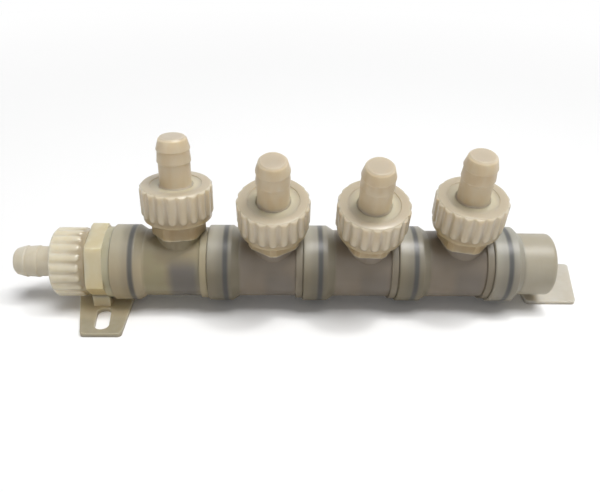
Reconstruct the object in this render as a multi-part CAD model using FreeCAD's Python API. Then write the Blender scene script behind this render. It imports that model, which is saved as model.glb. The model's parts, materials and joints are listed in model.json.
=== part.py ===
import FreeCAD, Part
import math
import os

Vector = FreeCAD.Vector
ORIGIN = Vector(0, 0, 0)
AXIS_X = Vector(1, 0, 0)
AXIS_Y = Vector(0, 1, 0)
AXIS_Z = Vector(0, 0, 1)

# Run of tees along X, in millimetres and degrees
outlet_tilts = (-1.5, 17.0, 19.5, 12.5)
outlet_hex_turns = (40.0, 0.0, 28.0, 18.0)

# Swivelling plug-in joint: spigot, socket, seal and snap bead
spigot_radius = 11.9
spigot_wall = 0.9
spigot_past_seal = 3.4
tube_step = 0.6
joint_clearance = 0.1
socket_wall = 2.2
socket_before_seal = 6.7
socket_floor_gap = 0.4
collar_past_seal = 2.2
collar_bevel = 2.6
flange_rise = 0.8
flange_thickness = 2.5
mouth_gap = 0.12
edge_break = 0.4
seal_cord = 2.0
seal_clearance = 0.05
groove_side_room = 0.3
bead_before_seal = 4.6
bead_width = 1.2
bead_height = 0.4
bead_side_room = 0.2

# Outlet nipple screwed into the tee's boss
boss_wall = 1.4
boss_rise = 0.2
outlet_hex_flats = 18.0
outlet_hex_corner = 0.8
outlet_hex_height = 5.6
outlet_hex_room = 0.97
nipple_bore_radius = 4.5
root_radius = 7.0
root_length = 4.0
root_clearance = 0.05
stub_radius = 9.0
stub_length = 8.0

# Union: flat gasket, hose tail and splined nut
gasket_thickness = 1.5
gasket_side_room = 0.3
tail_radius = 5.65
tail_reach = 17.3
tail_tip_step = 1.35
tail_tip_chamfer = 0.7
tail_bore_radius = 3.2
tail_tip_wall = 1.6
tail_flange_thickness = 2.0
tail_flange_room = 0.2
ridge_height = 0.35
ridges_from_tip = (4.7, 9.2)
nut_thread_clearance = 0.3
nut_wall = 2.6
nut_seat_gap = 0.3
nut_shoulder_gap = 0.1
nut_roof = 1.6
nut_ridge_clearance = 0.1
nut_foot_chamfer = 2.2
spline_count = 20
spline_height = 1.1
spline_radius = 1.3

# Inlet end fitting
inlet_hex_rise = 0.5
inlet_hex_length = 6.2
inlet_hex_turn = 19.0
inlet_hex_chamfer = 0.8
inlet_tail_reach = 15.7

# Closed end cap
cap_step = 0.8
cap_past_seal = 17.3
cap_end_wall = 2.5
cap_edge_round = 1.5

# Slotted mounting feet
foot_thickness = 1.6
foot_clearance = 0.8
foot_reach = 25.0
foot_past_axis = 3.2
foot_taper = 7.5
foot_corner = 1.5
inlet_foot_width = 14.5
inlet_foot_inset = 7.4
end_foot_width = 19.5
slot_width = 5.2
slot_length = 13.4
slot_tip_wall = 2.5
cradle_height = 6.6
cradle_before_slot = 0.9
end_cradle_length = 6.0

# How far a cutting solid runs past the face that it opens
overshoot = 1.0

# Sizes that follow from the ones above
tee_count = len(outlet_tilts)
tube_radius = spigot_radius + tube_step
flange_radius = tube_radius + flange_rise
cap_radius = tube_radius - cap_step
outlet_hex_radius = outlet_hex_flats / 2 + outlet_hex_corner
module_pitch = 2 * (outlet_hex_radius + outlet_hex_room + socket_before_seal)
socket_radius = spigot_radius + joint_clearance
collar_radius = socket_radius + socket_wall
socket_floor = spigot_past_seal + socket_floor_gap
seal_outer_radius = socket_radius - seal_clearance
seal_ring_radius = seal_outer_radius - seal_cord / 2
groove_radius = seal_ring_radius - seal_cord / 2 - seal_clearance
groove_half = seal_cord / 2 + groove_side_room
tube_bore_radius = groove_radius - spigot_wall
bead_radius = spigot_radius + bead_height
bead_recess_radius = bead_radius + joint_clearance
flange_outer_face = -socket_before_seal - mouth_gap
flange_inner_face = flange_outer_face - flange_thickness
boss_radius = root_radius + root_clearance + boss_wall
boss_top = flange_radius + boss_rise
nut_bore_radius = stub_radius + nut_thread_clearance
nut_root_radius = nut_bore_radius + nut_wall
nut_radius = nut_root_radius + spline_height
gasket_base = stub_length
flange_base = gasket_base + gasket_thickness
flange_top = flange_base + tail_flange_thickness
nut_shoulder = flange_top + nut_shoulder_gap
nut_top = nut_shoulder + nut_roof
tail_tip = nut_top + tail_reach
tail_tip_radius = tail_radius - tail_tip_step
ridge_radius = tail_radius + ridge_height
nut_hole_radius = ridge_radius + nut_ridge_clearance
axis_height = foot_thickness + foot_clearance + collar_radius
inlet_hex_radius = collar_radius + inlet_hex_rise
inlet_hex_flats = inlet_hex_radius * math.sqrt(3)
inlet_seat = flange_inner_face - inlet_hex_length
inlet_tail_tip = nut_top + inlet_tail_reach
inlet_reach = inlet_tail_tip - inlet_seat
foot_length = foot_reach + foot_past_axis
foot_slant = math.atan2(foot_taper, foot_length)
foot_corner_trim = foot_corner * (math.tan(foot_slant) + 1 / math.cos(foot_slant) - 1)
end_foot_inner = cap_past_seal - end_cradle_length
end_reach = end_foot_inner + end_foot_width + foot_taper - foot_corner_trim
slot_slant = math.degrees(math.atan2(foot_taper / 2, foot_length))
slot_reach = foot_reach - slot_tip_wall - slot_length / 2
cradle_depth = slot_reach - slot_length / 2 - cradle_before_slot
first_seal = (inlet_reach - end_reach - tee_count * module_pitch) / 2
seal_planes = [first_seal + index * module_pitch for index in range(tee_count + 1)]


def turned(profile):
    """Solid of revolution about Z from its (radius, height) corners."""
    corners = [Vector(radius, 0, height) for radius, height in profile]
    outline = Part.makePolygon(corners + corners[:1])
    return Part.Face(outline).revolve(ORIGIN, AXIS_Z, 360)


def hex_prism(across_flats, base, height, turn):
    """Hexagonal prism along Z with one corner turned from -Y by the given angle."""
    radius = across_flats / math.sqrt(3)
    angles = [math.radians(turn - 90 + 60 * side) for side in range(7)]
    corners = [Vector(radius * math.cos(a), radius * math.sin(a), base) for a in angles]
    return Part.Face(Part.makePolygon(corners)).extrude(Vector(0, 0, height))


def along_run(shape, seal_plane, turn=-1):
    """Lays a piece built up Z along the tube axis, to the left (-1) or the right (+1)."""
    shape.rotate(ORIGIN, AXIS_Y, 90 * turn)
    shape.translate(Vector(seal_plane, 0, axis_height))
    return shape


def on_branch(shape, index):
    """Stands a piece built up Z on the outlet of one tee, at that tee's tilt."""
    shape.rotate(ORIGIN, AXIS_X, outlet_tilts[index])
    middle = seal_planes[index] + module_pitch / 2
    shape.translate(Vector(middle, 0, axis_height))
    return shape


def lifted(shape, height):
    """Moves a piece up its own axis."""
    shape.translate(Vector(0, 0, height))
    return shape


def save(shape, name):
    """Writes one piece to its own file."""
    shape.exportStep("parts/" + name + ".step")


def socket_outline(body_radius):
    """Outside of a socket, from its mouth to where it meets a body of the given radius."""
    mouth = -socket_before_seal
    return [
        (0, mouth),
        (collar_radius - edge_break, mouth),
        (collar_radius, mouth + edge_break),
        (collar_radius, collar_past_seal),
        (body_radius, collar_past_seal + collar_bevel),
    ]


def socket_hollow():
    """Inside of a socket, from its mouth to its floor, with the recess for the snap bead."""
    mouth = -socket_before_seal
    recess_half = bead_width / 2 + bead_side_room
    return [
        (0, mouth - overshoot),
        (socket_radius + edge_break, mouth - overshoot),
        (socket_radius + edge_break, mouth),
        (socket_radius, mouth + edge_break),
        (socket_radius, -bead_before_seal - recess_half),
        (bead_recess_radius, -bead_before_seal - recess_half),
        (bead_recess_radius, -bead_before_seal + recess_half),
        (socket_radius, -bead_before_seal + recess_half),
        (socket_radius, socket_floor),
        (tube_bore_radius, socket_floor),
    ]


def spigot_outline(seal):
    """Outside of a spigot whose seal lies at the given height, from its root to its tip."""
    return [
        (spigot_radius, seal + flange_outer_face),
        (spigot_radius, seal - bead_before_seal - bead_width / 2),
        (bead_radius, seal - bead_before_seal),
        (spigot_radius, seal - bead_before_seal + bead_width / 2),
        (spigot_radius, seal - groove_half),
        (groove_radius, seal - groove_half),
        (groove_radius, seal + groove_half),
        (spigot_radius, seal + groove_half),
        (spigot_radius, seal + spigot_past_seal - edge_break),
        (spigot_radius - edge_break, seal + spigot_past_seal),
        (0, seal + spigot_past_seal),
    ]


def make_tee(index):
    """Tube with a socket, a flanged spigot and a threaded boss for its outlet."""
    seal = module_pitch
    outside = turned(
        socket_outline(tube_radius)
        + [
            (tube_radius, seal + flange_inner_face),
            (flange_radius, seal + flange_inner_face),
            (flange_radius, seal + flange_outer_face),
        ]
        + spigot_outline(seal)
    )
    tip = seal + spigot_past_seal
    hollow = turned(socket_hollow() + [(tube_bore_radius, tip + overshoot), (0, tip + overshoot)])
    outside = along_run(outside, seal_planes[index], 1)
    hollow = along_run(hollow, seal_planes[index], 1)
    boss = on_branch(Part.makeCylinder(boss_radius, boss_top), index)
    branch_hole = on_branch(Part.makeCylinder(root_radius + root_clearance, boss_top + overshoot), index)
    return outside.fuse(boss).cut(hollow.fuse(branch_hole)).removeSplitter()


def make_nipple(index):
    """Round-cornered hexagonal nipple: threaded root below, threaded stub above and a bore through."""
    hexagon = hex_prism(outlet_hex_flats, 0, outlet_hex_height, outlet_hex_turns[index])
    hexagon = hexagon.common(Part.makeCylinder(outlet_hex_radius, outlet_hex_height))
    root = lifted(Part.makeCylinder(root_radius, root_length), -root_length)
    stub = lifted(Part.makeCylinder(stub_radius, stub_length), outlet_hex_height)
    height = root_length + outlet_hex_height + stub_length + 2 * overshoot
    bore = lifted(Part.makeCylinder(nipple_bore_radius, height), -root_length - overshoot)
    nipple = hexagon.fuse([root, stub]).cut(bore).removeSplitter()
    return on_branch(lifted(nipple, boss_top), index)


def make_inlet_hex():
    """Inlet end fitting: flanged spigot, large hexagon and threaded stub, bored through."""
    flange = [
        (0, flange_inner_face),
        (flange_radius, flange_inner_face),
        (flange_radius, flange_outer_face),
    ]
    spigot = along_run(turned(flange + spigot_outline(0)), first_seal, 1)
    length = inlet_hex_length
    blank = turned([
        (0, 0),
        (inlet_hex_radius, 0),
        (inlet_hex_radius, length - inlet_hex_chamfer / 2),
        (inlet_hex_radius - inlet_hex_chamfer, length),
        (0, length),
    ])
    hexagon = hex_prism(inlet_hex_flats, 0, length, 0).common(blank)
    hexagon.rotate(ORIGIN, AXIS_Z, inlet_hex_turn + 30)
    stub = lifted(Part.makeCylinder(stub_radius, stub_length), length)
    bore_length = flange_thickness + length + stub_length + 2 * overshoot
    bore = lifted(Part.makeCylinder(nipple_bore_radius, bore_length), -overshoot)
    chamber_length = spigot_past_seal - flange_outer_face + overshoot
    chamber = lifted(Part.makeCylinder(tube_bore_radius, chamber_length), -chamber_length)
    fitting = along_run(hexagon.fuse(stub), first_seal + flange_inner_face)
    openings = along_run(bore.fuse(chamber), first_seal + flange_outer_face)
    return fitting.fuse(spigot).cut(openings).removeSplitter()


def make_gasket():
    """Flat sealing ring on the end of a threaded stub."""
    outer = stub_radius - gasket_side_room
    inner = nipple_bore_radius + gasket_side_room
    ring = Part.makeCylinder(outer, gasket_thickness).cut(Part.makeCylinder(inner, gasket_thickness))
    return lifted(ring, gasket_base)


def make_tail(tip):
    """Ridged hose tail with the flange that the nut presses down, its end moulded shut at the tip."""
    profile = [
        (0, flange_base),
        (stub_radius - tail_flange_room, flange_base),
        (stub_radius - tail_flange_room, flange_top),
        (ridge_radius, flange_top),
        (ridge_radius, nut_top),
        (tail_radius, nut_top + edge_break),
    ]
    for from_tip in reversed(ridges_from_tip):
        shoulder = tip - from_tip
        profile.append((tail_radius, shoulder))
        profile.append((ridge_radius, shoulder + edge_break))
    profile.append((tail_tip_radius + tail_tip_chamfer, tip - tail_tip_chamfer))
    profile.append((tail_tip_radius, tip))
    profile.append((0, tip))
    bore_length = tip - tail_tip_wall - flange_base + overshoot
    bore = lifted(Part.makeCylinder(tail_bore_radius, bore_length), flange_base - overshoot)
    return turned(profile).cut(bore)


def make_nut():
    """Union nut: splined body, flat roof round the tail and a smooth bore in place of a fine thread."""
    nut_base = nut_seat_gap
    spline_top = nut_top - edge_break
    core = turned([
        (0, nut_base),
        (nut_root_radius, nut_base),
        (nut_root_radius, nut_top),
        (0, nut_top),
    ])
    envelope = turned([
        (0, nut_base),
        (nut_root_radius, nut_base),
        (nut_radius, nut_base + nut_foot_chamfer),
        (nut_radius, spline_top - spline_height),
        (nut_root_radius, spline_top),
        (0, spline_top),
    ])
    ridges = []
    for index in range(spline_count):
        ridge = lifted(Part.makeCylinder(spline_radius, nut_top - nut_base), nut_base)
        ridge.translate(Vector(nut_radius - spline_radius, 0, 0))
        ridge.rotate(ORIGIN, AXIS_Z, 360 * index / spline_count)
        ridges.append(ridge)
    splines = ridges[0].fuse(ridges[1:]).common(envelope)
    thread_room = Part.makeCylinder(nut_bore_radius, nut_shoulder)
    tail_hole = Part.makeCylinder(nut_hole_radius, nut_top + overshoot)
    return core.fuse(splines).cut(thread_room.fuse(tail_hole)).removeSplitter()


def make_end_cap():
    """Socket closed by a short round-ended tube."""
    closed_end = cap_past_seal - cap_end_wall
    outside = turned(socket_outline(cap_radius) + [(cap_radius, cap_past_seal), (0, cap_past_seal)])
    rim = [edge for edge in outside.Edges if edge.BoundBox.ZMin > cap_past_seal - edge_break]
    rim = [edge for edge in rim if edge.BoundBox.XLength > cap_radius]
    outside = outside.makeFillet(cap_edge_round, rim)
    hollow = turned(socket_hollow() + [(tube_bore_radius, closed_end), (0, closed_end)])
    return along_run(outside.cut(hollow), seal_planes[-1], 1)


def make_foot_plate(inner, width, outward, side):
    """Slotted plate on the floor, reaching to the front (side -1) or the back (+1) of the tube.

    Its inner edge runs along Y, its outer edge slants outward to the back, and its slot runs between.
    """
    front = -foot_reach if side < 0 else -foot_past_axis
    back = front + foot_length
    corners = [
        Vector(inner, front, 0),
        Vector(inner + outward * width, front, 0),
        Vector(inner + outward * (width + foot_taper), back, 0),
        Vector(inner, back, 0),
    ]
    plate = Part.Face(Part.makePolygon(corners + corners[:1])).extrude(Vector(0, 0, foot_thickness))
    uprights = [edge for edge in plate.Edges if edge.BoundBox.ZLength > foot_thickness / 2]
    plate = plate.makeFillet(foot_corner, uprights)
    middle_y = side * slot_reach
    middle_x = inner + outward * (width + foot_taper * (middle_y - front) / foot_length) / 2
    straight = slot_length - slot_width
    slot = Part.makeBox(slot_width, straight, foot_thickness + 2 * overshoot)
    slot.translate(Vector(-slot_width / 2, -straight / 2, -overshoot))
    for end in (-straight / 2, straight / 2):
        round_end = Part.makeCylinder(slot_width / 2, foot_thickness + 2 * overshoot)
        round_end.translate(Vector(0, end, -overshoot))
        slot = slot.fuse(round_end)
    slot.rotate(ORIGIN, AXIS_Z, -outward * slot_slant)
    slot.translate(Vector(middle_x, middle_y, 0))
    return plate.cut(slot)


def make_inlet_foot(inlet_hex):
    """Front foot with a cradle that holds the underside of the inlet hexagon."""
    hex_face = first_seal + flange_inner_face
    plate = make_foot_plate(hex_face + inlet_foot_inset, inlet_foot_width, -1, -1)
    cradle = Part.makeBox(inlet_hex_length, cradle_depth, cradle_height)
    cradle.translate(Vector(hex_face - inlet_hex_length, -cradle_depth, foot_thickness))
    return plate.fuse(cradle).cut(inlet_hex).removeSplitter()


def make_end_foot():
    """Rear foot with a cradle that holds the underside of the cap."""
    inner = seal_planes[-1] + end_foot_inner
    plate = make_foot_plate(inner, end_foot_width, 1, 1)
    cradle = Part.makeBox(end_cradle_length, cradle_depth - foot_corner, cradle_height)
    cradle.translate(Vector(inner, foot_corner, foot_thickness))
    cap_body = along_run(Part.makeCylinder(cap_radius, cap_past_seal), seal_planes[-1], 1)
    return plate.fuse(cradle).cut(cap_body).removeSplitter()


def make_seal(seal_plane):
    """Round rubber ring in a spigot's groove."""
    ring = Part.makeTorus(seal_ring_radius, seal_cord / 2)
    return along_run(ring, seal_plane, 1)


def save_union(prefix, suffix, tip, place):
    """Writes the gasket, hose tail and nut of one union, put in place by the given function."""
    save(place(make_gasket()), prefix + "_gasket" + suffix)
    save(place(make_tail(tip)), prefix + "_barb" + suffix)
    save(place(make_nut()), prefix + "_nut" + suffix)


def place_inlet_union(shape):
    """Moves a union piece from its stub's base to the inlet end."""
    return along_run(shape, first_seal + inlet_seat)


def outlet_union_placer(index):
    """Gives the function that moves a union piece to one outlet."""
    return lambda shape: on_branch(lifted(shape, boss_top + outlet_hex_height), index)


def main():
    """Makes every piece of the manifold."""
    os.makedirs("parts", exist_ok=True)
    inlet_hex = make_inlet_hex()
    save(inlet_hex, "inlet_hex")
    save(make_inlet_foot(inlet_hex), "inlet_foot")
    save_union("inlet", "", inlet_tail_tip, place_inlet_union)
    for index in range(tee_count):
        number = str(index + 1)
        save(make_tee(index), "tee_" + number)
        save(make_nipple(index), "outlet_hex_" + number)
        save_union("outlet", "_" + number, tail_tip, outlet_union_placer(index))
    for index, seal_plane in enumerate(seal_planes):
        save(make_seal(seal_plane), "o_ring_" + str(index + 1))
    save(make_end_cap(), "end_cap")
    save(make_end_foot(), "end_foot")


main()
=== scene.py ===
import json
import logging
import math
from dataclasses import dataclass
from enum import Enum
from typing import Any, Callable, Iterator, Union

import bpy
from mathutils import Matrix, Vector


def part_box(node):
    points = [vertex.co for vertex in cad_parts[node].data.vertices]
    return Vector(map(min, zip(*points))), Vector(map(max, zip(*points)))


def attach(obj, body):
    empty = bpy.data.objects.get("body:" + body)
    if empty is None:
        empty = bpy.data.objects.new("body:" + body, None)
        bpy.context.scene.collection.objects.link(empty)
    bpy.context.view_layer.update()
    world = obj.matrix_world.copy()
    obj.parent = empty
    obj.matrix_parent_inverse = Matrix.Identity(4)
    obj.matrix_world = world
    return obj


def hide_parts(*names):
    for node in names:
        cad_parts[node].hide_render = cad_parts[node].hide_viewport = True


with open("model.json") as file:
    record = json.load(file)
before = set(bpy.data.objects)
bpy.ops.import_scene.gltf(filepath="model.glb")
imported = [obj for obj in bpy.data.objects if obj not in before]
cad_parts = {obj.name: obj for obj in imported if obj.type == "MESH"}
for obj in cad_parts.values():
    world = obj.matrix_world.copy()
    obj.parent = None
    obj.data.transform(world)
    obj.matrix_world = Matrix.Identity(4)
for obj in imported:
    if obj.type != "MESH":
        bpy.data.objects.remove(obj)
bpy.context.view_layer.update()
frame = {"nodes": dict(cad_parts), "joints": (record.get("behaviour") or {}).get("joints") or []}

LOG = logging.getLogger("manifold")
MM = 0.001
TEE_COUNT = sum(name.startswith("tee_") for name in frame["nodes"])
PLASTIC_IOR = 1.5
RICH_DETAIL = 3.0
USUAL_DETAIL = 2.0
LOW_DETAIL = 1.0
NOISE_MIDDLE = 0.5
BEVEL_SAMPLES = 4
COLOUR_MIX_INPUTS = (0, 6, 7)
COLOUR_MIX_OUTPUT = 2
ARC_STEPS = 5
LONGEST_CUT = 0.48
SHARP_ANGLE = math.radians(38)

Colour = tuple[float, float, float]
Squeeze = tuple[float, float, float]
Span = tuple[float, float]
Number = Union["Value", float]
Radius = Callable[[float], float]
Row = tuple[float, Radius]


class Mark(Enum):
    """Shares that nuts and tails keep on their points for their finish."""

    CREST = "crest"
    LOW = "low"
    ROOF = "roof"
    THIN = "thin"
    END = "end"


class Ray(Enum):
    """Kinds of light ray that the studio treats apart."""

    CAMERA = "Is Camera Ray"
    GLOSSY = "Is Glossy Ray"
    THROUGH = "Is Transmission Ray"


class LampKind(Enum):
    """Kinds of lamp in the studio."""

    SUN = "SUN"
    AREA = "AREA"


class Value:
    """A shader socket that can stand in a Python expression."""

    def __init__(self, graph: "Graph", socket: bpy.types.NodeSocket) -> None:
        """Wraps one output socket of the given graph."""
        self.graph = graph
        self.socket = socket

    def __add__(self, other: Number) -> "Value":
        """Sum of two values."""
        return self.graph.math("ADD", self, other)

    __radd__ = __add__

    def __sub__(self, other: Number) -> "Value":
        """This value less the other."""
        return self.graph.math("SUBTRACT", self, other)

    def __rsub__(self, other: Number) -> "Value":
        """The other value less this one."""
        return self.graph.math("SUBTRACT", other, self)

    def __mul__(self, other: Number) -> "Value":
        """Product of two values."""
        return self.graph.math("MULTIPLY", self, other)

    __rmul__ = __mul__

    def __truediv__(self, other: Number) -> "Value":
        """This value over the other."""
        return self.graph.math("DIVIDE", self, other)

    def __rtruediv__(self, other: Number) -> "Value":
        """The other value over this one."""
        return self.graph.math("DIVIDE", other, self)

    def __abs__(self) -> "Value":
        """Size of the value without its sign."""
        return self.graph.math("ABSOLUTE", self)

    def rises(self, low: float, high: float) -> "Value":
        """Mask that goes smoothly from 0 at low to 1 at high.

        Args:
            low: Value at which the mask is still 0.
            high: Value at which the mask has reached 1.

        Returns:
            The mask.
        """
        settings = {"interpolation_type": "SMOOTHSTEP"}
        values = {"Value": self, "From Min": low, "From Max": high}
        return self.graph.output("ShaderNodeMapRange", settings, values, "Result")

    def within(self, low: float, high: float, soft: float) -> "Value":
        """Mask that is 1 between two limits, with soft edges of the given width inside them."""
        return self.rises(low, low + soft) * (1 - self.rises(high - soft, high))


class Graph:
    """Builds the nodes of one material or of the world."""

    def __init__(self, owner: Union[bpy.types.Material, bpy.types.World]) -> None:
        """Starts an empty node tree.

        Args:
            owner: Material or world that the tree belongs to.
        """
        owner.use_nodes = True
        self.tree = owner.node_tree
        self.tree.nodes.clear()

    def node(self, kind: str, settings: dict[str, Any], values: dict[Any, Any]) -> bpy.types.Node:
        """Makes any node.

        Args:
            kind: Type name of the node.
            settings: Properties of the node, set before its sockets.
            values: Socket names or numbers, each with a value or a link.

        Returns:
            The new node.
        """
        made = self.tree.nodes.new(kind)
        for name, setting in settings.items():
            setattr(made, name, setting)
        for key, value in values.items():
            if isinstance(value, Value):
                self.tree.links.new(value.socket, made.inputs[key])
            else:
                made.inputs[key].default_value = value
        return made

    def output(self, kind: str, settings: dict[str, Any], values: dict[Any, Any], name: Any) -> Value:
        """Makes any node and wraps the output of the given name or number."""
        return Value(self, self.node(kind, settings, values).outputs[name])

    def math(self, operation: str, *terms: Number) -> Value:
        """Result of one operation on values or links, in order."""
        values = dict(enumerate(terms))
        return self.output("ShaderNodeMath", {"operation": operation}, values, "Value")

    def place(self) -> Value:
        """Position of the surface on the part at rest, in metres."""
        return self.output("ShaderNodeTexCoord", {}, {}, "Object")

    def axes(self) -> tuple[Value, Value, Value]:
        """The three coordinates of the position, one by one."""
        split = self.node("ShaderNodeSeparateXYZ", {}, {"Vector": self.place()})
        return tuple(Value(self, socket) for socket in split.outputs)

    def distance(self) -> Value:
        """Distance of the surface from the origin, in metres."""
        settings = {"operation": "LENGTH"}
        return self.output("ShaderNodeVectorMath", settings, {0: self.place()}, "Value")

    def mark(self, mark: Mark) -> Value:
        """Share kept on the points of the mesh."""
        return self.output("ShaderNodeAttribute", {"attribute_name": mark.value}, {}, "Fac")

    def light_path(self, ray: Ray) -> Value:
        """Whether the surface is met by the given kind of ray."""
        return self.output("ShaderNodeLightPath", {}, {}, ray.value)

    def noise(
        self, size: float, detail: float = USUAL_DETAIL, squeeze: Squeeze = (1.0, 1.0, 1.0)
    ) -> Value:
        """Cloudy variation from 0 to 1.

        Args:
            size: Typical size of a patch, in metres.
            detail: Number of finer layers.
            squeeze: How much the patches are squeezed in each direction.

        Returns:
            The variation.
        """
        settings = {"operation": "MULTIPLY"}
        place = self.output("ShaderNodeVectorMath", settings, {0: self.place(), 1: squeeze}, "Vector")
        values = {"Vector": place, "Scale": 1 / size, "Detail": detail}
        return self.output("ShaderNodeTexNoise", {}, values, "Fac")

    def blend(self, factor: Number, first: Any, second: Any) -> Value:
        """Colour between two colours, the first where the factor is 0."""
        values = dict(zip(COLOUR_MIX_INPUTS, (factor, padded(first), padded(second))))
        return self.output("ShaderNodeMix", {"data_type": "RGBA"}, values, COLOUR_MIX_OUTPUT)

    def bump(self, height: Value, depth: float, soft_edge: float) -> Value:
        """Surface direction bent by a height and rounded over sharp edges.

        Args:
            height: Height from 0 to 1.
            depth: What a height of 1 measures, in metres.
            soft_edge: Radius of the rounding over edges, in metres.

        Returns:
            The surface direction.
        """
        settings = {"samples": BEVEL_SAMPLES}
        rounded = self.output("ShaderNodeBevel", settings, {"Radius": soft_edge}, "Normal")
        values = {"Strength": 1.0, "Distance": depth, "Height": height, "Normal": rounded}
        return self.output("ShaderNodeBump", {}, values, "Normal")

    def principled(self, values: dict[str, Any]) -> Value:
        """Principled surface with the given socket values."""
        return self.output("ShaderNodeBsdfPrincipled", {}, values, "BSDF")

    def mixed(self, factor: Value, first: Value, second: Value) -> Value:
        """Shader between two shaders, the first where the factor is 0."""
        values = dict(enumerate((factor, first, second)))
        return self.output("ShaderNodeMixShader", {}, values, "Shader")

    def end(self, shader: Value, kind: str = "ShaderNodeOutputMaterial") -> None:
        """Ends the tree with a shader."""
        self.node(kind, {}, {"Surface": shader})


def padded(colour: Any) -> Any:
    """Gives a plain colour the alpha that a colour socket expects, and leaves a link as it is."""
    return colour if isinstance(colour, Value) else (*colour, 1.0)


@dataclass(frozen=True)
class Finish:
    """Looks of one kind of surface."""

    name: str

    def sockets(self, graph: Graph) -> dict[str, Any]:
        """Socket values of the surface, which each finish gives in its own way."""
        raise NotImplementedError

    def material(self) -> bpy.types.Material:
        """Makes the material.

        Returns:
            The material, with one principled surface.
        """
        made = bpy.data.materials.new(self.name)
        graph = Graph(made)
        graph.end(graph.principled(self.sockets(graph)))
        return made


@dataclass(frozen=True)
class MouldedPlastic(Finish):
    """Natural plastic of tails, hexagons and feet, with light passing into it."""

    colour: Colour
    warm: Colour
    pale: Colour
    roughness: float = 0.30
    glow_depth: float = 6 * MM
    glow_tint: Colour = (1.0, 0.92, 0.78)
    cloud_size: float = 9 * MM
    cloud_span: Span = (0.35, 0.7)
    flow_size: float = 2.2 * MM
    flow_squeeze: Squeeze = (1.0, 1.0, 0.25)
    flow_span: Span = (0.3, 0.8)
    flow_share: float = 0.35
    flow_dulling: float = 0.12
    wave_size: float = 4.5 * MM
    grain_size: float = 0.35 * MM
    grain_share: float = 0.08
    grain_shine: float = 0.04
    bump_depth: float = 0.10 * MM
    soft_edge: float = 0.3 * MM
    skin_roughness: float = 0.10

    def tint(self, graph: Graph, colour: Value) -> Value:
        """Leaves the clouded colour as it is; other finishes build on it."""
        return colour

    def skin(self, graph: Graph) -> Number:
        """Share of the surface that is polished by its mould; none here."""
        return 0.0

    def sockets(self, graph: Graph) -> dict[str, Any]:
        """Clouded colour, faint flow lines and softened edges.

        Args:
            graph: Graph of the material.

        Returns:
            Socket values of the surface.
        """
        clouds = graph.noise(self.cloud_size, RICH_DETAIL).rises(*self.cloud_span)
        flow = graph.noise(self.flow_size, squeeze=self.flow_squeeze).rises(*self.flow_span)
        colour = graph.blend(clouds, self.colour, self.warm)
        colour = graph.blend(flow * self.flow_share, colour, self.pale)
        grain = graph.noise(self.grain_size)
        waves = graph.noise(self.wave_size, LOW_DETAIL)
        relief = waves * (1 - self.grain_share) + grain * self.grain_share
        return {
            "Base Color": self.tint(graph, colour),
            "Roughness": self.roughness + self.flow_dulling * flow - self.grain_shine * grain,
            "Subsurface Weight": 1.0,
            "Subsurface Radius": self.glow_tint,
            "Subsurface Scale": self.glow_depth,
            "IOR": PLASTIC_IOR,
            "Coat Weight": self.skin(graph),
            "Coat Roughness": self.skin_roughness,
            "Normal": graph.bump(relief, self.bump_depth, self.soft_edge),
        }


@dataclass(frozen=True)
class RibbedPlastic(MouldedPlastic):
    """Plastic of the nuts: polished ribs, a roof greyed with painted shade, painted light by its hole
    and in the grooves, painted highlights on crests and teeth, and a foot deepened partly by its
    amber and partly by painted shade.
    """

    # Amber of the thick foot, darkened further with painted shade where little light reaches the
    # nut's base.
    foot_amber_shade: Colour = (0.360, 0.277, 0.150)
    # Painted shade: the roof is greyed so that the light from above leaves it no brighter than the
    # sides.
    roof: Colour = (0.495, 0.425, 0.312)
    # Painted light: the thin inner roof round the tail is paled as if lit through.
    thin: Colour = (0.80, 0.680, 0.440)
    crest_span: Span = (0.25, 0.9)
    crest_lift: float = 0.6
    # Painted highlights: the next two shares pale the crests, and the teeth at the foot most, as if
    # they catch the light.
    crest_share: float = 0.05
    tooth_highlight_share: float = 0.38
    # Painted light: the grooves are paled to soften their shade.
    groove_light_share: float = 0.60
    # How far the foot takes the amber and painted shade.
    foot_share: float = 0.90
    thin_roof_light_share: float = 0.85
    skin_share: float = 0.8

    def skin(self, graph: Graph) -> Number:
        """Polish on the ribs, and none on the roof."""
        return (1 - graph.mark(Mark.ROOF)) * self.skin_share

    def tint(self, graph: Graph, colour: Value) -> Value:
        """Paints shade on the foot over its amber and on the roof, paints light on the grooves and
        the thin roof, and paints highlights on the crests.

        Args:
            graph: Graph of the material.
            colour: Clouded colour.

        Returns:
            The colour over the nut.
        """
        crest = graph.mark(Mark.CREST).rises(*self.crest_span)
        low = graph.mark(Mark.LOW)
        # Painted shade over the amber at the nut's foot, kept off the crests.
        foot_shade = low * (1 - self.crest_lift * crest)
        colour = graph.blend(foot_shade * self.foot_share, colour, self.foot_amber_shade)
        # Painted light paling the grooves between the ribs.
        colour = graph.blend((1 - crest) * (1 - low) * self.groove_light_share, colour, self.pale)
        # Painted shade greying the roof.
        colour = graph.blend(graph.mark(Mark.ROOF), colour, self.roof)
        # Painted light paling the thin roof round the tail.
        colour = graph.blend(graph.mark(Mark.THIN) * self.thin_roof_light_share, colour, self.thin)
        # Painted highlight paling the crests, the teeth most.
        share = self.crest_share + low * (self.tooth_highlight_share - self.crest_share)
        return graph.blend(crest * share, colour, self.pale)


@dataclass(frozen=True)
class TailPlastic(MouldedPlastic):
    """Plastic of the hose tails, greyer on the end face with painted shade where the light from above
    falls full on it.
    """

    # Painted shade on the end face.
    end_face_shade: Colour = (0.53, 0.445, 0.335)
    end_shade_share: float = 0.85

    def tint(self, graph: Graph, colour: Value) -> Value:
        """Greys the end face with painted shade."""
        return graph.blend(graph.mark(Mark.END) * self.end_shade_share, colour, self.end_face_shade)


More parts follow.
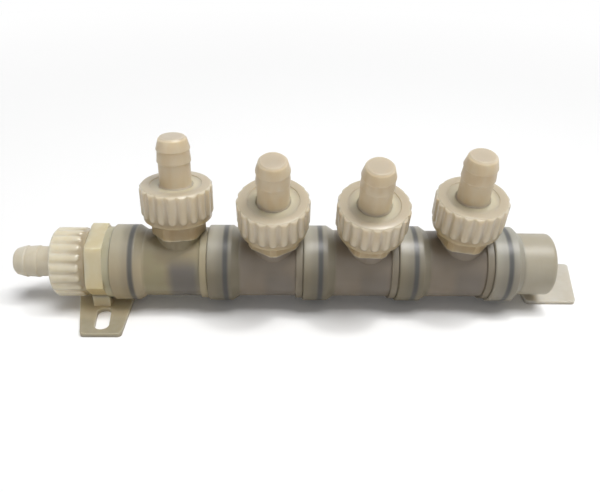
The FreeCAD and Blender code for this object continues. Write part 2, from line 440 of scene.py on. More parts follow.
@dataclass(frozen=True)
class InletPlastic(MouldedPlastic):
    """Plastic of the inlet fitting: its hexagon pale over amber, its flange as milky as the run."""

    axis_height: float = 0.0
    flange_from: float = 0.0
    flange_edge: float = 0.2 * MM
    amber: Colour = (0.52, 0.412, 0.208)
    amber_span: Span = (-6 * MM, 9 * MM)
    milky: Colour = (0.46, 0.420, 0.280)

    def tint(self, graph: Graph, colour: Value) -> Value:
        """Deepens the colour towards the floor, and turns it milky from the flange on.

        Args:
            graph: Graph of the material.
            colour: Clouded colour.

        Returns:
            The colour over the fitting.
        """
        x, _, z = graph.axes()
        depth = (self.axis_height - z).rises(*self.amber_span)
        colour = graph.blend(depth, colour, self.amber)
        flange = (x - self.flange_from).rises(-self.flange_edge, self.flange_edge)
        return graph.blend(flange, colour, self.milky)


@dataclass(frozen=True)
class FootPlastic(MouldedPlastic):
    """Plastic of the front foot, with painted light that pales and warms it towards the run, against
    the shade under the hexagon.
    """

    # Painted light towards the run, where the hexagon and nut shade the foot.
    inner_painted_light: Colour = (0.76, 0.620, 0.405)
    inner_light_span: Span = (-18 * MM, -7 * MM)

    def tint(self, graph: Graph, colour: Value) -> Value:
        """Paints light on the foot from its tip towards the run."""
        _, y, _ = graph.axes()
        return graph.blend(y.rises(*self.inner_light_span), colour, self.inner_painted_light)


@dataclass(frozen=True)
class TubeTones:
    """Colours of one piece of the run, with painted shade low on the collars and in a patch on the
    tube's front.
    """

    tube: Colour
    warm: Colour
    collar: Colour
    # Painted shade: the collar darkens to this towards the bottom, as if shaded from above.
    collar_low_shade: Colour
    # Painted shade: a dark patch standing for the shade inside the tube, seen through its front wall.
    shade_patch_colour: Colour = (0.128, 0.115, 0.105)
    band: Colour = (0.050, 0.053, 0.057)
    # Strength of that painted shade patch.
    window: float = 0.0


@dataclass(frozen=True)
class MilkyPlastic(Finish):
    """Cloudy tube plastic, paler where a socket doubles the wall and dark over each seal, with
    painted shade low on the collars and in a patch on the tube's front.
    """

    tilt: float
    seal: Vector
    seal_shift: float
    tones: TubeTones
    roughness: float = 0.30
    glow_weight: float = 0.35
    glow_depth: float = 1.6 * MM
    glow_tint: Colour = (1.0, 0.85, 0.6)
    cloud_size: float = 11 * MM
    cloud_span: Span = (0.35, 0.7)
    ripple_size: float = 3 * MM
    ripple_squeeze: Squeeze = (2.0, 0.6, 0.6)
    ripple_dulling: float = 0.12
    wobble_width: float = 1.2 * MM
    socket_span: Span = (-8.6 * MM, 6.0 * MM)
    socket_edge: float = 1.6 * MM
    socket_wobble: float = 0.4
    socket_ripple: float = 0.15
    halo_shift: float = 0.6 * MM
    halo_span: Span = (0.8 * MM, 4.2 * MM)
    halo_share: float = 0.22
    seal_span: Span = (0.35 * MM, 1.45 * MM)
    seal_wobble: float = 0.2
    seal_share: float = 0.82
    # Where the painted shade patch sits along and round the tube.
    shade_patch_span: Span = (12.4 * MM, 27.0 * MM)
    shade_patch_edge: float = 4.2 * MM
    shade_patch_arc: Span = (math.radians(-80), math.radians(46))
    shade_patch_arc_edge: float = math.radians(34)
    flange_span: Span = (25.3 * MM, 29.0 * MM)
    flange_edge: float = 0.5 * MM
    flange_share: float = 0.55
    # Height over which the painted shade leaves the collars.
    collar_shade_span: Span = (2 * MM, 16 * MM)
    grain_size: float = 0.3 * MM
    grain_share: float = 0.15
    bump_depth: float = 0.07 * MM
    soft_edge: float = 0.35 * MM

    def tint(self, graph: Graph, cloud: Value, ripple: Value) -> Value:
        """Colours the tube by the place along the run and round the tube, with painted shade in a
        patch on its front and low on the collars.

        Args:
            graph: Graph of the material.
            cloud: Slow variation of the plastic.
            ripple: Fine variation of the plastic.

        Returns:
            The colour.
        """
        tones = self.tones
        x, y, z = graph.axes()
        along = x - self.seal.x
        above = z - self.seal.z
        from_seal = along - self.seal_shift
        wobble = (cloud - NOISE_MIDDLE) * self.wobble_width
        around = graph.math("ARCTAN2", above, 0 - y) + self.tilt
        # Painted shade: a soft dark patch on the tube's lower front.
        window = (along + wobble).within(*self.shade_patch_span, self.shade_patch_edge)
        window = window * around.within(*self.shade_patch_arc, self.shade_patch_arc_edge)
        socket = (along + wobble * self.socket_wobble).within(*self.socket_span, self.socket_edge)
        socket = socket * ((1 - self.socket_ripple) + self.socket_ripple * ripple)
        flange = along.within(*self.flange_span, self.flange_edge)
        halo = 1 - abs(from_seal + self.halo_shift).rises(*self.halo_span)
        seal = 1 - abs(from_seal + wobble * self.seal_wobble).rises(*self.seal_span)
        # Painted shade: the collars darken towards the bottom.
        high = (above + wobble).rises(*self.collar_shade_span)
        collar = graph.blend(high, tones.collar_low_shade, tones.collar)
        colour = graph.blend(cloud.rises(*self.cloud_span), tones.tube, tones.warm)
        colour = graph.blend(window * tones.window, colour, tones.shade_patch_colour)
        colour = graph.blend(socket, colour, collar)
        colour = graph.blend(flange * self.flange_share, colour, collar)
        colour = graph.blend(halo * self.halo_share, colour, tones.band)
        return graph.blend(seal * self.seal_share, colour, tones.band)

    def sockets(self, graph: Graph) -> dict[str, Any]:
        """Banded colour and a rippled, softly glowing surface.

        Args:
            graph: Graph of the material.

        Returns:
            Socket values of the surface.
        """
        cloud = graph.noise(self.cloud_size, RICH_DETAIL)
        ripple = graph.noise(self.ripple_size, squeeze=self.ripple_squeeze)
        grain = graph.noise(self.grain_size)
        relief = ripple * (1 - self.grain_share) + grain * self.grain_share
        return {
            "Base Color": self.tint(graph, cloud, ripple),
            "Roughness": self.roughness + self.ripple_dulling * ripple,
            "Subsurface Weight": self.glow_weight,
            "Subsurface Radius": self.glow_tint,
            "Subsurface Scale": self.glow_depth,
            "IOR": PLASTIC_IOR,
            "Normal": graph.bump(relief, self.bump_depth, self.soft_edge),
        }


@dataclass(frozen=True)
class Rubber(Finish):
    """Matt moulded rubber of rings and gaskets."""

    colour: Colour
    dust: Colour
    roughness: float = 0.62
    bloom_size: float = 2.5 * MM
    bloom_span: Span = (0.45, 0.8)
    bloom_share: float = 0.5
    bloom_dulling: float = 0.2
    grain_size: float = 0.2 * MM
    grain_depth: float = 0.03 * MM
    soft_edge: float = 0.1 * MM

    def sockets(self, graph: Graph) -> dict[str, Any]:
        """Dusty bloom and a fine grain.

        Args:
            graph: Graph of the material.

        Returns:
            Socket values of the surface.
        """
        bloom = graph.noise(self.bloom_size, RICH_DETAIL).rises(*self.bloom_span)
        grain = graph.noise(self.grain_size)
        return {
            "Base Color": graph.blend(bloom * self.bloom_share, self.colour, self.dust),
            "Roughness": self.roughness + self.bloom_dulling * bloom,
            "Normal": graph.bump(grain, self.grain_depth, self.soft_edge),
        }


IVORY_TAIL = TailPlastic(
    name="ivory_tail",
    colour=(0.675, 0.560, 0.400),
    warm=(0.655, 0.518, 0.340),
    pale=(0.715, 0.630, 0.500),
)
IVORY_NUT = RibbedPlastic(
    name="ivory_nut",
    colour=(0.580, 0.490, 0.345),
    warm=(0.560, 0.455, 0.298),
    pale=(0.65, 0.582, 0.465),
)
PALE_TAIL = TailPlastic(
    name="pale_tail",
    colour=(0.60, 0.543, 0.430),
    warm=(0.58, 0.510, 0.378),
    pale=(0.65, 0.600, 0.508),
)
PALE_NUT = RibbedPlastic(
    name="pale_nut",
    colour=(0.67, 0.595, 0.430),
    warm=(0.65, 0.565, 0.385),
    pale=(0.71, 0.650, 0.525),
)
# Outlet hexagons: amber plastic, darkened partly by painted shade from the nut above.
AMBER_SHADED_HEXAGON = MouldedPlastic(
    name="amber_shaded_hex",
    colour=(0.445, 0.342, 0.196),
    warm=(0.420, 0.308, 0.164),
    pale=(0.495, 0.402, 0.265),
)
# Front foot: the foot plastic darkened with painted shade, as it lies in the run's shadow.
FRONT_FOOT_SHADED = FootPlastic(
    name="front_foot_shaded",
    colour=(0.375, 0.335, 0.245),
    warm=(0.350, 0.305, 0.210),
    pale=(0.42, 0.388, 0.302),
)
# Back foot: the same plastic at its lit colour.
BACK_FOOT = MouldedPlastic(
    name="back_foot",
    colour=(0.62, 0.560, 0.460),
    warm=(0.59, 0.520, 0.410),
    pale=(0.66, 0.610, 0.530),
)
SEAL_RUBBER = Rubber(
    name="seal_rubber",
    colour=(0.022, 0.022, 0.024),
    dust=(0.09, 0.09, 0.09),
)
GASKET_RUBBER = Rubber(
    name="gasket_rubber",
    colour=(0.46, 0.43, 0.36),
    dust=(0.58, 0.55, 0.47),
    roughness=0.55,
)
# First tee, with painted shade at the collar's bottom and in the front patch.
FIRST_TEE = TubeTones(
    tube=(0.300, 0.262, 0.152),
    warm=(0.278, 0.226, 0.138),
    collar=(0.405, 0.370, 0.278),
    collar_low_shade=(0.390, 0.322, 0.208),
    window=0.9,
)
# Other tees: darker than the first partly by their own greyer tone and partly by painted shade from
# the nuts leaning over them.
OTHER_TEE_SHADED = TubeTones(
    tube=(0.243, 0.202, 0.155),
    warm=(0.224, 0.181, 0.132),
    collar=(0.415, 0.392, 0.320),
    collar_low_shade=(0.196, 0.168, 0.110),
    window=0.45,
)
# Closed cap, with painted shade at the collar's bottom.
CLOSED_CAP = TubeTones(
    tube=(0.415, 0.377, 0.292),
    warm=(0.385, 0.342, 0.252),
    collar=(0.395, 0.385, 0.330),
    collar_low_shade=(0.285, 0.258, 0.202),
)


@dataclass(frozen=True)
class Corner:
    """One corner of a turned outline: radius, height and the rounding there."""

    radius: float
    height: float
    rounding: float = 0.0


def rounded_outline(corners: list[Corner]) -> list[Span]:
    """Replaces the corners of an open outline by arcs.

    Args:
        corners: Corners in order, the first and last kept sharp.

    Returns:
        Points as radius and height.
    """
    points: list[Span] = []
    for index, corner in enumerate(corners):
        here = Vector((corner.radius, corner.height))
        if corner.rounding == 0 or index in (0, len(corners) - 1):
            points.append(tuple(here))
            continue
        before = corners[index - 1]
        after = corners[index + 1]
        back = Vector((before.radius, before.height)) - here
        ahead = Vector((after.radius, after.height)) - here
        half = back.angle(ahead) / 2
        longest = LONGEST_CUT * min(back.length, ahead.length)
        cut = min(corner.rounding / math.tan(half), longest)
        start = here + back.normalized() * cut
        end = here + ahead.normalized() * cut
        for step in range(ARC_STEPS + 1):
            done = step / ARC_STEPS
            left = 1 - done
            point = start * left ** 2 + here * (2 * done * left) + end * done ** 2
            points.append(tuple(point))
    return points


def evenly(start: float, end: float, steps: int) -> list[float]:
    """Even steps from a start up to an end that is left out."""
    return [start + (end - start) * step / steps for step in range(steps)]


def clamped(share: float) -> float:
    """Keeps a share between 0 and 1."""
    return min(1.0, max(0.0, share))


def even(radius: float) -> Radius:
    """The same radius all round."""
    return lambda angle: radius


def joint_named(name: str) -> dict[str, Any]:
    """Joint of the part with the given name."""
    return next(joint for joint in frame["joints"] if joint["name"] == name)


@dataclass
class Stand:
    """Where a union stands: a point on its axis and the direction away from the run."""

    origin: Vector
    along: Vector

    def matrix(self) -> Matrix:
        """Takes a piece built up Z to its place on the run.

        Returns:
            The placing matrix.
        """
        lying = abs(self.along.x) > abs(self.along.z)
        across = Vector((0, 0, 1)) if lying else Vector((1, 0, 0))
        third = self.along.cross(across)
        turn = Matrix((across, third, self.along)).transposed()
        return Matrix.Translation(self.origin) @ turn.to_4x4()

    def measure(self, point: Vector) -> Span:
        """Measures a point about the axis.

        Args:
            point: Place on the part at rest.

        Returns:
            Height along the axis and radius about it.
        """
        offset = point - self.origin
        height = offset.dot(self.along)
        return height, (offset - self.along * height).length

    def reach(self, node: str) -> tuple[float, float, float]:
        """Measures a CAD node about the axis.

        Args:
            node: Name of the node.

        Returns:
            Lowest and highest place along the axis, and the largest radius.
        """
        points = [self.measure(vertex.co) for vertex in frame["nodes"][node].data.vertices]
        heights, radii = zip(*points)
        return min(heights), max(heights), max(radii)


def placed(name: str, data: bpy.types.ID) -> bpy.types.Object:
    """Puts a mesh, a lamp or a camera into the scene.

    Args:
        name: Name of the object.
        data: What the object shows.

    Returns:
        The new object.
    """
    made = bpy.data.objects.new(name, data)
    bpy.context.scene.collection.objects.link(made)
    return made


def meshed(name: str, points: list[Vector], faces: list[list[int]]) -> bpy.types.Object:
    """Makes a piece from points and faces.

    Args:
        name: Name of the piece.
        points: Its points.
        faces: Numbers of the points of each face.

    Returns:
        The new object.
    """
    mesh = bpy.data.meshes.new(name)
    mesh.from_pydata(points, [], faces)
    mesh.validate()
    return placed(name, mesh)


def ring_mesh(
    name: str, rows: list[Row], segments: int, matrix: Matrix, closed: bool
) -> bpy.types.Object:
    """Makes a smooth piece from rings of points about an axis.

    Args:
        name: Name of the piece.
        rows: Height of each ring, and its radius as a function of the angle.
        segments: Number of points on a ring.
        matrix: Takes the piece from its own axis to its place.
        closed: Whether the last ring joins the first; otherwise both ends close in a point.

    Returns:
        The new object.
    """
    angles = [2 * math.pi * index / segments for index in range(segments)]
    points: list[Vector] = []
    rings: list[list[int]] = []
    for height, radius in rows:
        if radius(0.0) == 0.0:
            rings.append([len(points)] * segments)
            points.append(matrix @ Vector((0, 0, height)))
            continue
        rings.append(list(range(len(points), len(points) + segments)))
        for angle in angles:
            size = radius(angle)
            points.append(matrix @ Vector((size * math.cos(angle), size * math.sin(angle), height)))
    upper_rings = rings[1:] + rings[:1] if closed else rings[1:]
    faces: list[list[int]] = []
    for lower, upper in zip(rings, upper_rings):
        for index in range(segments):
            following = (index + 1) % segments
            corners = (lower[index], lower[following], upper[following], upper[index])
            faces.append(list(dict.fromkeys(corners)))
    made = meshed(name, points, faces)
    made.data.polygons.foreach_set("use_smooth", [True] * len(made.data.polygons))
    made.data.set_sharp_from_angle(angle=SHARP_ANGLE)
    return made


def dress(piece: bpy.types.Object, material: bpy.types.Material) -> None:
    """Gives a piece one material."""
    piece.data.materials.clear()
    piece.data.materials.append(material)


def store(piece: bpy.types.Object, mark: Mark, shares: list[float]) -> None:
    """Keeps a share on each point of a piece."""
    kept = piece.data.attributes.new(mark.value, "FLOAT", "POINT")
    kept.data.foreach_set("value", shares)


@dataclass
class UnionNut:
    """Ribbed nut with petal-ended ribs and a shallow dish in its roof round the tail."""

    label: str
    node: str
    body: str
    stand: Stand
    rib_count: int = 20
    steps_per_rib: int = 14
    petal_steps: int = 14
    side_steps: int = 6
    slope_steps: int = 8
    height: float = 12.9 * MM
    rib_height: float = 0.65 * MM
    rib_half_angle: float = math.radians(7.2)
    rib_curve: float = 2.0
    rib_fullness: float = 0.75
    petal_length: float = 1.8 * MM
    petal_curve: float = 2.2
    rib_slope: float = 0.6 * MM
    slope_curve: float = 0.7
    foot_band: float = 1.6 * MM
    foot_fade: float = 6.5 * MM
    edge: float = 0.35 * MM
    edge_share: float = 0.3
    roof: float = 1.6 * MM
    bore_radius: float = 9.3 * MM
    hole_radius: float = 6.1 * MM
    hole_edge: float = 0.12 * MM
    dish_radius: float = 9.2 * MM
    dish_depth: float = 0.35 * MM

    def rib(self, angle: float, above: float) -> float:
        """Height of the ribs at one place of the nut's side.

        Args:
            angle: Angle round the axis.
            above: Height over the nut's base.

        Returns:
            Height over the root of the ribs.
        """
        spacing = 2 * math.pi / self.rib_count
        offset = abs((angle + spacing / 2) % spacing - spacing / 2) / self.rib_half_angle
        short = max(0.0, (self.foot_band + self.petal_length - above) / self.petal_length)
        room = max(0.0, 1 - offset ** self.rib_curve - short ** self.petal_curve)
        slope = max(0.0, (self.height - self.edge - above) / self.rib_slope)
        return self.rib_height * min(room ** self.rib_fullness, slope ** self.slope_curve)

    def rows(self) -> list[Row]:
        """Rings of the nut, up the outside and back down the bore.

        Returns:
            Height and radius of each ring.
        """
        base, _, outer = self.stand.reach(self.node)
        root = outer - self.rib_height
        top = base + self.height
        dish = top - self.dish_depth
        edge = self.edge
        bevel = edge * self.edge_share
        petals = self.foot_band + self.petal_length
        ribs_end = self.height - edge
        slope = ribs_end - self.rib_slope

        def side(above: float) -> Radius:
            """Radius of the ribbed side at one height, by the angle."""
            return lambda angle: root + self.rib(angle, above)

        heights = evenly(edge, petals, self.petal_steps)
        heights += evenly(petals, slope, self.side_steps)
        heights += evenly(slope, ribs_end, self.slope_steps)
        heights.append(ribs_end)
        roof_and_bore = [
            (top - bevel, root - bevel),
            (top, root - edge),
            (top, self.dish_radius + self.hole_edge),
            (top - self.hole_edge, self.dish_radius),
            (dish, self.dish_radius),
            (dish, (self.dish_radius + self.hole_radius) / 2),
            (dish, self.hole_radius + self.hole_edge),
            (dish - self.hole_edge, self.hole_radius),
            (top - self.roof, self.hole_radius),
            (top - self.roof, self.bore_radius),
            (base + edge, self.bore_radius),
            (base, self.bore_radius + edge),
        ]
        made = [(base, even(root - edge))]
        made += [(base + above, side(above)) for above in heights]
        made += [(height, even(radius)) for height, radius in roof_and_bore]
        return made

    def mark(self, made: bpy.types.Object) -> None:
        """Stores on the mesh where the crests, the foot, the roof and its thin inner part are.

        Args:
            made: The nut.
        """
        base, _, outer = self.stand.reach(self.node)
        rim = base + self.height - self.edge / 2
        dish = self.dish_radius + self.hole_edge / 2
        dish_width = self.dish_radius - self.hole_radius
        shares: dict[Mark, list[float]] = {Mark.CREST: [], Mark.LOW: [], Mark.ROOF: [], Mark.THIN: []}
        for vertex in made.data.vertices:
            height, radius = self.stand.measure(vertex.co)
            shares[Mark.CREST].append(clamped(1 - (outer - radius) / self.rib_height))
            shares[Mark.LOW].append(clamped(1 - (height - base - self.foot_band) / self.foot_fade))
            shares[Mark.ROOF].append(float(height > rim or radius < dish))
            shares[Mark.THIN].append(clamped((self.dish_radius - radius) / dish_width))
        for mark, values in shares.items():
            store(made, mark, values)

    def build(self, material: bpy.types.Material) -> bpy.types.Object:
        """Makes the nut and sets it on its body.

        Args:
            material: Finish of the nut.

        Returns:
            The nut.
        """
        segments = self.rib_count * self.steps_per_rib
        made = ring_mesh(self.label, self.rows(), segments, self.stand.matrix(), True)
        self.mark(made)
        dress(made, material)
        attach(made, self.body)
        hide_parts(self.node)
        return made


@dataclass
class HoseTail:
    """Ridged tail with its flange, moulded shut at the tip."""

    label: str
    node: str
    body: str
    stand: Stand
    segments: int = 96
    radius: float = 5.65 * MM
    soft: float = 0.35 * MM
    root_radius: float = 6.0 * MM
    root_length: float = 3.35 * MM
    root_soft: float = 0.2 * MM
    cone_length: float = 0.4 * MM
    cone_soft: float = 0.4 * MM
    ridge_height: float = 0.35 * MM
    ridge_shoulder: float = 0.4 * MM
    ridges_from_tip: tuple[float, ...] = (9.2 * MM, 4.7 * MM)
    tip_step: float = 1.35 * MM
    tip_chamfer: float = 0.7 * MM
    tip_soft: float = 0.6 * MM
    tip_wall: float = 1.6 * MM
    face_depth: float = 0.175 * MM
    bore_radius: float = 3.2 * MM
    flange_thickness: float = 2.0 * MM

    def outline(self) -> list[Corner]:
        """Half section of the tail, from the bore's end round to the tip.

        Returns:
            Its corners.
        """
        low, tip, flange = self.stand.reach(self.node)
        soft = self.soft
        bore_end = tip - self.tip_wall
        flange_top = low + self.flange_thickness
        root_end = low + self.root_length
        corners = [
            Corner(0, bore_end),
            Corner(self.bore_radius, bore_end, soft),
            Corner(self.bore_radius, low, soft),
            Corner(flange, low, soft),
            Corner(flange, flange_top, soft),
            Corner(self.root_radius, flange_top, soft),
            Corner(self.root_radius, root_end, self.root_soft),
            Corner(self.radius, root_end + self.cone_length, self.cone_soft),
        ]
        for from_tip in self.ridges_from_tip:
            shoulder = tip - from_tip
            crest = shoulder + self.ridge_shoulder
            corners.append(Corner(self.radius, shoulder, soft))
            corners.append(Corner(self.radius + self.ridge_height, crest, soft))
        face = self.radius - self.tip_step
        corners.append(Corner(face + self.tip_chamfer, tip - self.tip_chamfer, self.tip_soft))
        corners.append(Corner(face, tip, soft))
        corners.append(Corner(0, tip))
        return corners

    def mark(self, made: bpy.types.Object) -> None:
        """Stores on the mesh which points belong to the end face.

        Args:
            made: The tail.
        """
        limit = self.stand.reach(self.node)[1] - self.face_depth
        heights = [self.stand.measure(vertex.co)[0] for vertex in made.data.vertices]
        store(made, Mark.END, [float(height > limit) for height in heights])

    def build(self, material: bpy.types.Material) -> bpy.types.Object:
        """Makes the tail and sets it on its body.

        Args:
            material: Finish of the tail.

        Returns:
            The tail.
        """
        rows = [(height, even(radius)) for radius, height in rounded_outline(self.outline())]
        made = ring_mesh(self.label, rows, self.segments, self.stand.matrix(), False)
        self.mark(made)
        dress(made, material)
        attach(made, self.body)
        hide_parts(self.node)
        return made


@dataclass
class StubThread:
    """Raised screw thread round the stub under a nut."""

    label: str
    body: str
    stand: Stand
    nut_node: str
    radius: float = 9.0 * MM
    height: float = 0.24 * MM
    sunk: float = 0.05 * MM
    pitch: float = 2.0 * MM
    foot_share: float = 0.31
    crest_share: float = 0.08
    turns: float = 3.2
    seat_gap: float = 0.3 * MM
    start: float = 0.9 * MM
    steps_per_turn: int = 72
    run_in_steps: int = 12

    def section(self, run_in: float) -> list[Span]:
        """Section of the thread at one place.

        Args:
            run_in: Share of the full height there.

        Returns:
            Rise over the stub and shift along the axis, in pitches, of each corner.
        """
        crest = self.height * run_in
        return [
            (-self.sunk, -self.foot_share),
            (crest, -self.crest_share),
            (crest, self.crest_share),
            (-self.sunk, self.foot_share),
        ]

    def build(self, material: bpy.types.Material) -> bpy.types.Object:
        """Makes the thread and sets it on its body.

        Args:
            material: Finish of the stub that carries it.

        Returns:
            The thread.
        """
        first = self.stand.reach(self.nut_node)[0] - self.seat_gap + self.start
        count = int(self.turns * self.steps_per_turn)
        matrix = self.stand.matrix()
        points: list[Vector] = []
        for step in range(count + 1):
            turned = step / self.steps_per_turn
            angle = 2 * math.pi * turned
            run_in = min(1.0, step / self.run_in_steps, (count - step) / self.run_in_steps)
            for rise, shift in self.section(run_in):
                radius = self.radius + rise
                height = first + self.pitch * (turned + shift)
                corner = Vector((radius * math.cos(angle), radius * math.sin(angle), height))
                points.append(matrix @ corner)
        sides = len(self.section(1.0))
        faces = [list(range(sides))[::-1], [count * sides + side for side in range(sides)]]
        for step in range(count):
            here = step * sides
            ahead = here + sides
            for side in range(sides):
                following = (side + 1) % sides
                faces.append([here + side, here + following, ahead + following, ahead + side])
        made = meshed(self.label, points, faces)
        dress(made, material)
        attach(made, self.body)
        return made


@dataclass
class Connection:
    """Nut, tail and thread of one screwed connection."""

    prefix: str
    suffix: str
    carrier: str
    tail_body: str
    nut_body: str
    plain: TailPlastic
    ribbed: RibbedPlastic

    def stand(self) -> Stand:
        """Axis of the connection, read from its screw joint."""
        joint = joint_named(self.prefix + self.suffix + "_nut_turn")
        return Stand(Vector(joint["pos_m"]), Vector(joint["axis"]).normalized())

    def build(self) -> list[bpy.types.Object]:
        """Makes the three pieces.

        Returns:
            The pieces.
        """
        stand = self.stand()
        nut_node = self.prefix + "_nut" + self.suffix
        tail_node = self.prefix + "_barb" + self.suffix
        nut = UnionNut("union_nut_" + self.nut_body, nut_node, self.nut_body, stand)
        tail = HoseTail("hose_tail_" + self.tail_body, tail_node, self.tail_body, stand)
        thread = StubThread("stub_thread_" + self.carrier, self.carrier, stand, nut_node)
        plain = self.plain.material()
        return [nut.build(self.ribbed.material()), tail.build(plain), thread.build(plain)]


def connections() -> list[Connection]:
    """Screwed connections of the inlet and of every tee.

    Returns:
        The connections, the inlet's first.
    """
    made = [Connection("inlet", "", "inlet", "inlet_tail", "inlet_union", PALE_TAIL, PALE_NUT)]
    for number in range(1, TEE_COUNT + 1):
        bodies = (f"module_{number}", f"tail_{number}", f"union_{number}")
        made.append(Connection("outlet", f"_{number}", *bodies, IVORY_TAIL, IVORY_NUT))
    return made


@dataclass
class Run:
    """Row of tees, with their seals, hexagons, cap and feet as the CAD gives them."""

    flange_before_seal: float = 9.32 * MM
    seal_shifts: tuple[float, ...] = (0.9 * MM, 0.0, -0.4 * MM, -0.5 * MM, -1.0 * MM)

    def seal_centre(self, number: int) -> Vector:
        """Middle of one seal ring, counted from 1."""
        low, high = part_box(f"o_ring_{number}")
        return (low + high) / 2

    def tilt(self, number: int) -> float:
        """Lean of one outlet towards the front, counted from 1, in radians."""
        _, across, up = joint_named(f"outlet_{number}_nut_turn")["axis"]
        return math.atan2(-across, up)

    def plastic(self, number: int) -> MilkyPlastic:
        """Plastic of one tee, or of the cap after the last tee.

        Args:
            number: Number of the piece, from 1.

        Returns:
            The finish.
        """
        seal = self.seal_centre(number)
        shift = self.seal_shifts[number - 1]
        if number > TEE_COUNT:
            return MilkyPlastic("milky_cap", 0.0, seal, shift, CLOSED_CAP)
        tones = FIRST_TEE if number == 1 else OTHER_TEE_SHADED
        return MilkyPlastic(f"milky_tee_{number}", self.tilt(number), seal, shift, tones)

    def inlet_plastic(self) -> InletPlastic:
        """Plastic of the inlet fitting.

        Returns:
            The finish, set by the place of the first seal.
        """
        seal = self.seal_centre(1)
        return InletPlastic(
            name="inlet_hex",
            colour=(0.63, 0.555, 0.375),
            warm=(0.61, 0.525, 0.318),
            pale=(0.68, 0.635, 0.500),
            axis_height=seal.z,
            flange_from=seal.x - self.flange_before_seal,
        )

    def dress(self) -> Iterator[str]:
        """Gives every CAD piece of the run its finish.

        Yields:
            Name of each dressed piece.
        """
        hexagon = AMBER_SHADED_HEXAGON.material()
        seal = SEAL_RUBBER.material()
        gasket = GASKET_RUBBER.material()
        finishes: dict[str, bpy.types.Material] = {}
        for number in range(1, TEE_COUNT + 1):
            finishes[f"tee_{number}"] = self.plastic(number).material()
            finishes[f"outlet_hex_{number}"] = hexagon
            finishes[f"outlet_gasket_{number}"] = gasket
        for number in range(1, TEE_COUNT + 2):
            finishes[f"o_ring_{number}"] = seal
        finishes["end_cap"] = self.plastic(TEE_COUNT + 1).material()
        finishes["inlet_hex"] = self.inlet_plastic().material()
        finishes["inlet_gasket"] = gasket
        finishes["inlet_foot"] = FRONT_FOOT_SHADED.material()
        finishes["end_foot"] = BACK_FOOT.material()
        for name, material in finishes.items():
            dress(frame["nodes"][name], material)
            yield name


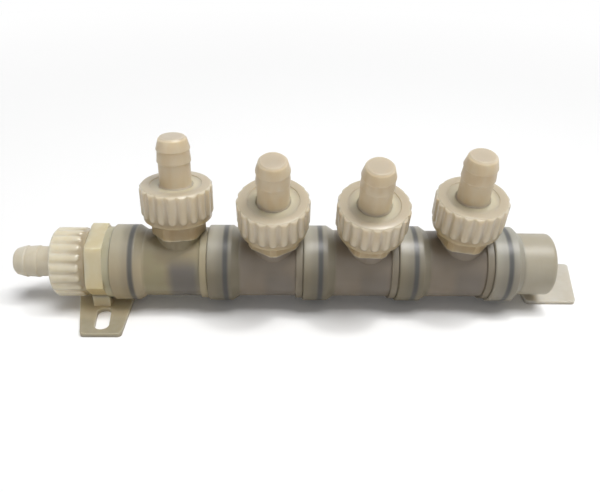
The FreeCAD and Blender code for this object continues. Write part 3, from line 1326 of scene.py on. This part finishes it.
@dataclass
class Studio:
    """Pale floor, soft light from above and the camera at the photo's angle."""

    middle: Vector
    camera_offset: Vector = Vector((-13.275, -209.2, 126.0)) * MM
    yaw: float = math.radians(1.52)
    pitch: float = math.radians(29.57)
    roll: float = math.radians(1.12)
    lens: float = 38.42
    sensor: float = 36.0
    nearest: float = 0.01
    farthest: float = 50.0
    floor_size: float = 12.0
    floor_drop: float = 0.05 * MM
    floor_near: float = 0.20
    floor_far: float = 0.70
    floor_bounce: Colour = (0.78, 0.77, 0.76)
    floor_roughness: float = 0.95
    white: Colour = (1.0, 1.0, 1.0)
    backdrop_level: float = 1.0
    sky_level: float = 0.26
    sun_level: float = 2.02
    sun_angle: float = math.radians(30)
    sun_from: Vector = Vector((0.22, -0.17, 1.0))
    fill_level: float = 0.25
    fill_angle: float = math.radians(70)
    fill_from: Vector = Vector((-0.35, -1.0, 0.35))
    glint_level: float = 0.24
    glint_size: float = 0.03
    glint_from: Vector = Vector((0.09, -0.02, 0.35))

    def paper(self) -> bpy.types.Material:
        """Makes the floor's material.

        Returns:
            Pale paper, plain white to the eye away from the part.
        """
        made = bpy.data.materials.new("floor_paper")
        graph = Graph(made)
        seen = graph.light_path(Ray.CAMERA)
        paper = graph.principled({
            "Base Color": graph.blend(seen, self.floor_bounce, self.white),
            "Roughness": self.floor_roughness,
            "Specular IOR Level": 0.0,
        })
        white = graph.output("ShaderNodeEmission", {}, {"Color": padded(self.white)}, "Emission")
        far = graph.distance().rises(self.floor_near, self.floor_far)
        graph.end(graph.mixed(seen * far, paper, white))
        return made

    def floor(self) -> None:
        """Lays the pale floor just under the feet."""
        half = self.floor_size / 2
        signs = ((-1, -1), (1, -1), (1, 1), (-1, 1))
        corners = [Vector((x * half, y * half, -self.floor_drop)) for x, y in signs]
        made = meshed("floor", corners, [[0, 1, 2, 3]])
        dress(made, self.paper())

    def background(self, graph: Graph, level: float) -> Value:
        """White light of one strength from all round."""
        values = {"Color": padded(self.white), "Strength": level}
        return graph.output("ShaderNodeBackground", {}, values, "Background")

    def sky(self) -> None:
        """Lights the scene evenly, and shows white behind and in reflections."""
        world = bpy.data.worlds.new("studio")
        bpy.context.scene.world = world
        graph = Graph(world)
        camera, glossy, through = (graph.light_path(ray) for ray in Ray)
        lighting = self.background(graph, self.sky_level)
        backdrop = self.background(graph, self.backdrop_level)
        shader = graph.mixed(camera + glossy + through, lighting, backdrop)
        graph.end(shader, "ShaderNodeOutputWorld")

    def lamp(self, name: str, kind: LampKind, level: float, towards: Vector) -> bpy.types.Object:
        """Adds one lamp that points along a direction.

        Args:
            name: Name of the lamp.
            kind: Kind of lamp.
            level: Its power or strength.
            towards: Direction of its light.

        Returns:
            The lamp.
        """
        data = bpy.data.lights.new(name, kind.value)
        data.energy = level
        made = placed(name, data)
        made.rotation_mode = "QUATERNION"
        made.rotation_quaternion = towards.to_track_quat("-Z", "Y")
        return made

    def lights(self) -> None:
        """Adds the light from above, a fainter one from the front and a small one for glints."""
        sun = self.lamp("overhead", LampKind.SUN, self.sun_level, -self.sun_from)
        sun.data.angle = self.sun_angle
        fill = self.lamp("fill", LampKind.SUN, self.fill_level, -self.fill_from)
        fill.data.angle = self.fill_angle
        glint = self.lamp("glint", LampKind.AREA, self.glint_level, -self.glint_from)
        glint.location = self.middle + self.glint_from
        glint.data.size = self.glint_size

    def camera(self) -> None:
        """Sets the camera at the photo's angle."""
        data = bpy.data.cameras.new("photo_view")
        data.lens = self.lens
        data.sensor_width = self.sensor
        data.clip_start = self.nearest
        data.clip_end = self.farthest
        made = placed("photo_view", data)
        forward = Vector((
            math.sin(self.yaw) * math.cos(self.pitch),
            math.cos(self.yaw) * math.cos(self.pitch),
            -math.sin(self.pitch),
        ))
        right = Vector((math.cos(self.yaw), -math.sin(self.yaw), 0))
        up = right.cross(forward)
        side = right * math.cos(self.roll) + up * math.sin(self.roll)
        top = up * math.cos(self.roll) - right * math.sin(self.roll)
        turn = Matrix((side, top, -forward)).transposed()
        made.matrix_world = Matrix.Translation(self.middle + self.camera_offset) @ turn.to_4x4()
        bpy.context.scene.camera = made

    def build(self) -> None:
        """Makes floor, light and camera."""
        self.floor()
        self.sky()
        self.lights()
        self.camera()
        bpy.context.scene.view_settings.view_transform = "Standard"


def main() -> None:
    """Builds the looks of the manifold."""
    logging.basicConfig(level=logging.INFO)
    run = Run()
    for name in run.dress():
        LOG.info("dressed %s", name)
    for connection in connections():
        for piece in connection.build():
            LOG.info("built %s", piece.name)
    Studio(run.seal_centre(1 + TEE_COUNT // 2)).build()


if __name__ == "__main__":
    main()
